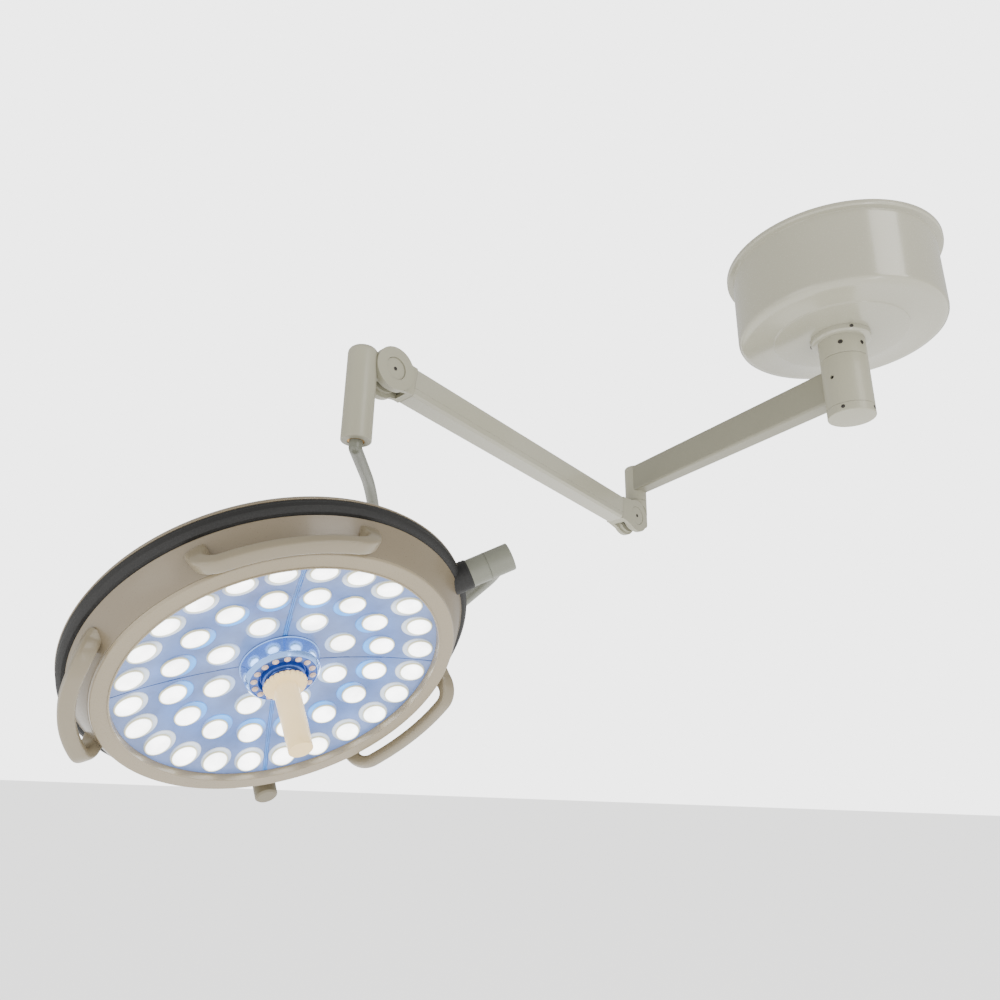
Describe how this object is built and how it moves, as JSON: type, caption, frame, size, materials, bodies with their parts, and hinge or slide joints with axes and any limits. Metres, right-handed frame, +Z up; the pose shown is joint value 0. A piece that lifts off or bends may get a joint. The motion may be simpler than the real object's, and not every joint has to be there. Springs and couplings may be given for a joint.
{
  "type": "dental operating light",
  "caption": "Ceiling-mounted dental operating light: swivelling extension arm, balanced spring arm, double yoke and round LED head with sterilisable handle.",
  "frame": {"origin": "centre of the ceiling mounting plate's upper face, on the main swivel axis", "axes": "+Z up, along the main swivel axis; the arms are at the pose of the picture, which looks along +Y"},
  "size_m": [1.5927, 0.9681, 1.0976],
  "materials": {
    "arm_paint": "satin powder coat, warm greige",
    "canopy_plastic": "fine satin moulded cover",
    "head_plastic": "satin moulded shell, warm beige",
    "ring_plastic": "semi-gloss front ring",
    "yoke_paint": "satin coat, light grey",
    "gasket_rubber": "matt dark seal",
    "panel_blue": "satin reflective blue-tinted panel",
    "lens_clear": "clear moulded lens cells, lit",
    "led": "LED emitter, lit",
    "lamp": "small rosy lamp domes",
    "hub_metal": "blue-tinted bright hub",
    "handle_plastic": "cream sterilisable handle",
    "grip_plastic": "satin grip plastic",
    "alu": "machined",
    "steel": "bright zinc or ground",
    "bronze": "sintered bush",
    "board": "dish-shaped LED board",
    "psu_metal": "sheet box"
  },
  "bodies": {
    "ceiling": {"ceiling_plate": "steel", "suspension_spindle": "steel", "ceiling_fasteners": "steel", "ceiling_canopy": "canopy_plastic", "canopy_collar": "canopy_plastic", "bearing_sleeve": "arm_paint", "power_supply": "psu_metal", "spindle_nut": "steel"},
    "extension_arm": {"arm_hub": "arm_paint", "hub_end_cap": "arm_paint", "extension_arm_tube": "arm_paint", "arm_end_boss": "arm_paint", "arm_screws": "steel", "arm_bushes": "bronze"},
    "knuckle": {"knuckle_body": "arm_paint", "link_pin_lower": "steel", "knee_bushes": "bronze"},
    "spring_arm": {"spring_arm_lower_fork": "arm_paint", "spring_arm_beam": "steel", "spring_arm_upper_fork": "arm_paint", "hinge_pins": "steel", "hinge_cap_discs": "grip_plastic", "cap_disc_screws": "steel", "spring_arm_top_cover": "canopy_plastic", "spring_arm_bottom_cover": "canopy_plastic", "balance_spring": "steel", "spring_rod": "steel", "spring_fittings": "steel"},
    "parallel_link": {"parallel_link": "steel"},
    "elbow": {"elbow_casting": "arm_paint", "elbow_screw": "steel", "link_pin_upper": "steel", "elbow_bushes": "bronze"},
    "outer_yoke": {"outer_yoke": "yoke_paint", "roll_hub_outer": "yoke_paint", "roll_bush": "bronze"},
    "inner_yoke": {"roll_hub_inner": "yoke_paint", "yoke_arc_inner": "yoke_paint", "tilt_hub_outer": "yoke_paint", "tilt_bush": "bronze"},
    "head": {"front_bezel": "ring_plastic", "seam_gasket": "gasket_rubber", "head_housing": "head_plastic", "head_chassis": "alu", "tilt_gasket": "gasket_rubber", "tilt_collar": "yoke_paint", "tilt_shaft": "steel", "light_panels": "panel_blue", "lens_cells": "lens_clear", "led_emitters": "led", "led_carrier": "board", "heat_sink": "alu", "hub_housing": "hub_metal", "hub_lamps": "lamp", "handle_core": "steel", "carry_handles": "grip_plastic", "back_cover": "head_plastic"},
    "sterile_handle": {"sterile_handle": "handle_plastic"},
    "handle_latch": {"handle_latch": "handle_plastic"},
    "dimmer_knob": {"dimmer_knob": "grip_plastic"}
  },
  "joints": [
    {"name": "arm_swivel", "type": "hinge", "parent": "ceiling", "child": "extension_arm", "pos_m": [0, 0, -0.28], "axis": [0, 0, 1], "range_deg": [-165, 165]},
    {"name": "knuckle_swivel", "type": "hinge", "parent": "extension_arm", "child": "knuckle", "pos_m": [-0.29279, 0.57898, -0.34], "axis": [0, 0, 1], "range_deg": [-255, 45]},
    {"name": "elevation", "type": "hinge", "parent": "knuckle", "child": "spring_arm", "pos_m": [-0.31733, 0.55676, -0.38575], "axis": [-0.671, 0.7414, 0], "range_deg": [-42, 12]},
    {"name": "parallel_link_turn", "type": "hinge", "parent": "knuckle", "child": "parallel_link", "pos_m": [-0.31733, 0.55676, -0.40375], "axis": [-0.671, 0.7414, 0], "range_deg": [-42, 12]},
    {"name": "elbow_level", "type": "hinge", "parent": "spring_arm", "child": "elbow", "pos_m": [-0.91413, 0.01663, -0.2832], "axis": [-0.671, 0.7414, 0], "range_deg": [-12, 42]},
    {"name": "yoke_swivel", "type": "hinge", "parent": "elbow", "child": "outer_yoke", "pos_m": [-0.95882, -0.02382, -0.4517], "axis": [0, 0, 1], "range_deg": [-170, 170]},
    {"name": "roll", "type": "hinge", "parent": "outer_yoke", "child": "inner_yoke", "pos_m": [-0.93672, 0.42164, -0.80419], "axis": [0.0495, 0.9988, 0], "range_deg": [-32, 50]},
    {"name": "tilt", "type": "hinge", "parent": "inner_yoke", "child": "head", "pos_m": [-0.6871, -0.03729, -0.67775], "axis": [0.9057, -0.0449, 0.4215], "range_deg": [-45, 55]},
    {"name": "handle_release", "type": "slide", "parent": "head", "child": "sterile_handle", "axis": [0.3616, -0.4369, -0.8236], "range_m": [0, 0.12]},
    {"name": "latch_press", "type": "slide", "parent": "sterile_handle", "child": "handle_latch", "axis": [-0.6151, 0.5521, -0.5629], "range_m": [0, 0.0019], "stiffness_N_per_m": 600, "springref_m": -0.002},
    {"name": "dimmer_turn", "type": "hinge", "parent": "head", "child": "dimmer_knob", "pos_m": [-1.12407, 0.26615, -1.06195], "axis": [0.3616, -0.4369, -0.8236], "range_deg": [-135, 135]}
  ],
  "couplings": [
    {"joint": "parallel_link_turn", "follows": "elevation", "ratio": 1},
    {"joint": "elbow_level", "follows": "elevation", "ratio": -1}
  ]
}
